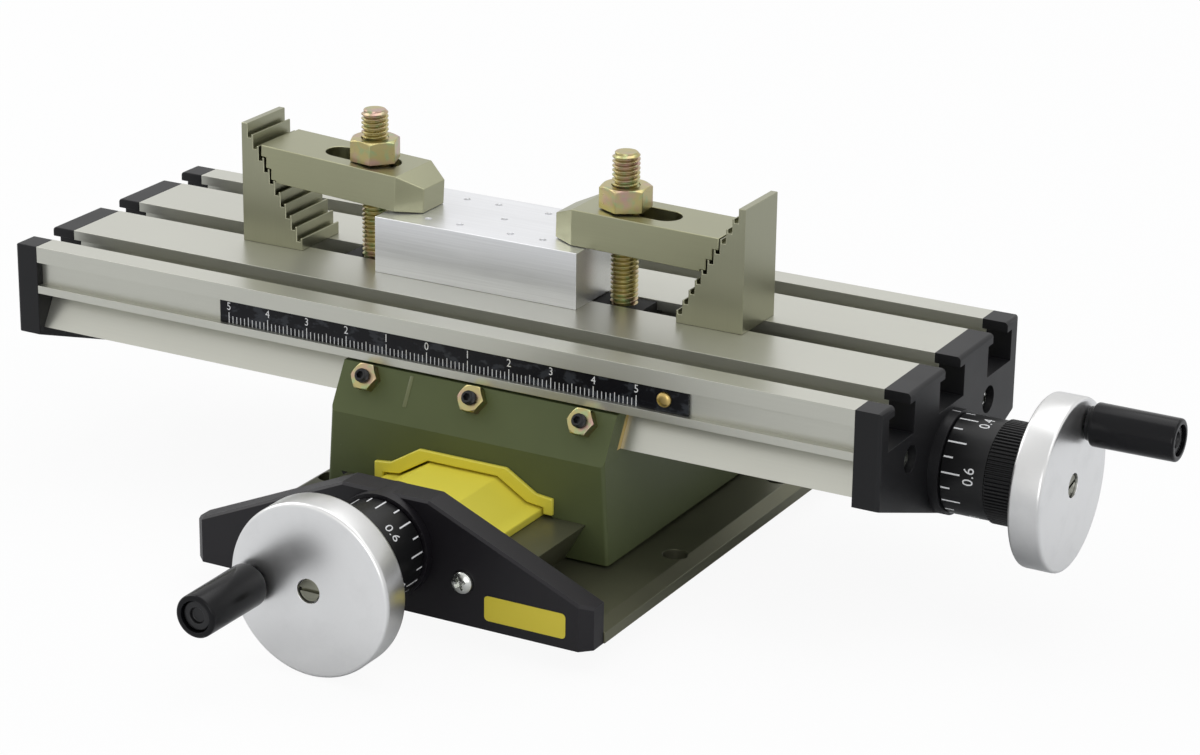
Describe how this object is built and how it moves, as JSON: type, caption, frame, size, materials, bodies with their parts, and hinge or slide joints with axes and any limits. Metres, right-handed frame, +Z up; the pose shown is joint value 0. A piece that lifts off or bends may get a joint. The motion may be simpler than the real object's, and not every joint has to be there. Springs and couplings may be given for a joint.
{
  "type": "cross slide table",
  "caption": "Small machine cross slide table: slotted table on two crossed dovetail slides, each fed by a handwheel with a dial, with step clamps holding a block.",
  "frame": {"origin": "centre of the base's four bolt holes, on the base's underside", "axes": "+X along the table towards its own handwheel, +Y from the front plate with the other handwheel to the back, +Z up"},
  "size_m": [0.2588, 0.1816, 0.085],
  "materials": {
    "table_aluminium": "satin anodised, fine lengthwise brushing",
    "cap_plastic": "fine matt moulding",
    "front_plastic": "fine matt moulding",
    "saddle_paint": "semi-gloss olive paint on cast metal",
    "base_coat": "dark olive-bronze anodised extrusion",
    "yellow_plastic": "glossy yellow moulding",
    "wheel_metal": "turned and polished",
    "dial_black": "satin black, knurled at one end",
    "grip_plastic": "glossy black moulding",
    "spindle_steel": "turned steel",
    "bronze": "machined bronze and brass",
    "scale_black": "glossy black strip with white print",
    "zinc_steel": "bright zinc plate",
    "yellow_zinc": "yellow passivated zinc",
    "black_steel": "blackened steel",
    "clamp_steel": "ground and oiled steel",
    "work_aluminium": "bright brushed sheet"
  },
  "bodies": {
    "base": {"base_plate": "base_coat", "front_plate": "front_plastic", "front_plate_screws": "zinc_steel", "spindle_cover": "yellow_plastic"},
    "y_feed": {"y_spindle": "spindle_steel", "y_handwheel": "wheel_metal", "y_handwheel_screw": "black_steel", "y_grip_pin": "spindle_steel"},
    "y_dial": {"y_dial_ring": "dial_black"},
    "y_grip": {"y_handwheel_grip": "grip_plastic"},
    "saddle": {"saddle": "saddle_paint", "cover_liner": "yellow_plastic", "x_gib_strip": "bronze", "x_gib_screws": "black_steel", "x_gib_lock_nuts": "yellow_zinc", "y_gib_strip": "bronze", "y_gib_screws": "black_steel", "y_gib_lock_nuts": "yellow_zinc", "x_spindle_nut": "bronze", "y_spindle_nut": "bronze", "y_nut_screws": "zinc_steel"},
    "table": {"table_plate": "table_aluminium", "left_end_cap": "cap_plastic", "right_end_cap": "cap_plastic", "end_cap_screws": "zinc_steel", "scale_strip": "scale_black", "scale_rivet": "bronze"},
    "x_feed": {"x_spindle": "spindle_steel", "x_handwheel": "wheel_metal", "x_handwheel_screw": "black_steel", "x_grip_pin": "spindle_steel"},
    "x_dial": {"x_dial_ring": "dial_black"},
    "x_grip": {"x_handwheel_grip": "grip_plastic"},
    "left_clamp": {"left_t_nut": "yellow_zinc", "left_stud": "yellow_zinc", "left_clamp_strap": "clamp_steel", "left_step_block": "clamp_steel"},
    "left_nut": {"left_clamp_nut": "yellow_zinc"},
    "right_clamp": {"right_t_nut": "yellow_zinc", "right_stud": "yellow_zinc", "right_clamp_strap": "clamp_steel", "right_step_block": "clamp_steel"},
    "right_nut": {"right_clamp_nut": "yellow_zinc"},
    "work": {"work_block": "work_aluminium"}
  },
  "joints": [
    {"name": "y_spindle_turn", "type": "hinge", "parent": "base", "child": "y_feed", "pos_m": [0, 0, 0.0138], "axis": [0, 1, 0], "range_deg": [-9010, 7570]},
    {"name": "saddle_slide", "type": "slide", "parent": "base", "child": "saddle", "axis": [0, 1, 0], "range_m": [-0.025, 0.021]},
    {"name": "y_dial_turn", "type": "hinge", "parent": "y_feed", "child": "y_dial", "pos_m": [0, 0, 0.0138], "axis": [0, 1, 0], "continuous": true},
    {"name": "y_grip_turn", "type": "hinge", "parent": "y_feed", "child": "y_grip", "pos_m": [-0.01317, -0.1, 0.01288], "axis": [0, 1, 0], "continuous": true},
    {"name": "x_spindle_turn", "type": "hinge", "parent": "table", "child": "x_feed", "pos_m": [0, 0.002, 0.02596], "axis": [-1, 0, 0], "range_deg": [-28812, 18804]},
    {"name": "table_slide", "type": "slide", "parent": "saddle", "child": "table", "axis": [1, 0, 0], "range_m": [-0.0522, 0.08]},
    {"name": "x_dial_turn", "type": "hinge", "parent": "x_feed", "child": "x_dial", "pos_m": [0, 0.002, 0.02596], "axis": [1, 0, 0], "continuous": true},
    {"name": "x_grip_turn", "type": "hinge", "parent": "x_feed", "child": "x_grip", "pos_m": [0.12, 0.0084, 0.0375], "axis": [1, 0, 0], "continuous": true},
    {"name": "left_clamp_slide", "type": "slide", "parent": "table", "child": "left_clamp", "axis": [1, 0, 0], "range_m": [-0.036, 0]},
    {"name": "left_nut_turn", "type": "hinge", "parent": "left_clamp", "child": "left_nut", "pos_m": [-0.047, 0.002, 0.07], "axis": [0, 0, 1], "continuous": true},
    {"name": "right_clamp_slide", "type": "slide", "parent": "table", "child": "right_clamp", "axis": [1, 0, 0], "range_m": [0, 0.036]},
    {"name": "right_nut_turn", "type": "hinge", "parent": "right_clamp", "child": "right_nut", "pos_m": [0.0155, 0.002, 0.07], "axis": [0, 0, 1], "continuous": true},
    {"name": "work_slide", "type": "slide", "parent": "table", "child": "work", "axis": [0, 1, 0], "range_m": [-0.024, 0.0195]}
  ],
  "couplings": [
    {"joint": "y_spindle_turn", "follows": "saddle_slide", "rad_per_m": 6283.2},
    {"joint": "x_spindle_turn", "follows": "table_slide", "rad_per_m": -6283.2}
  ]
}
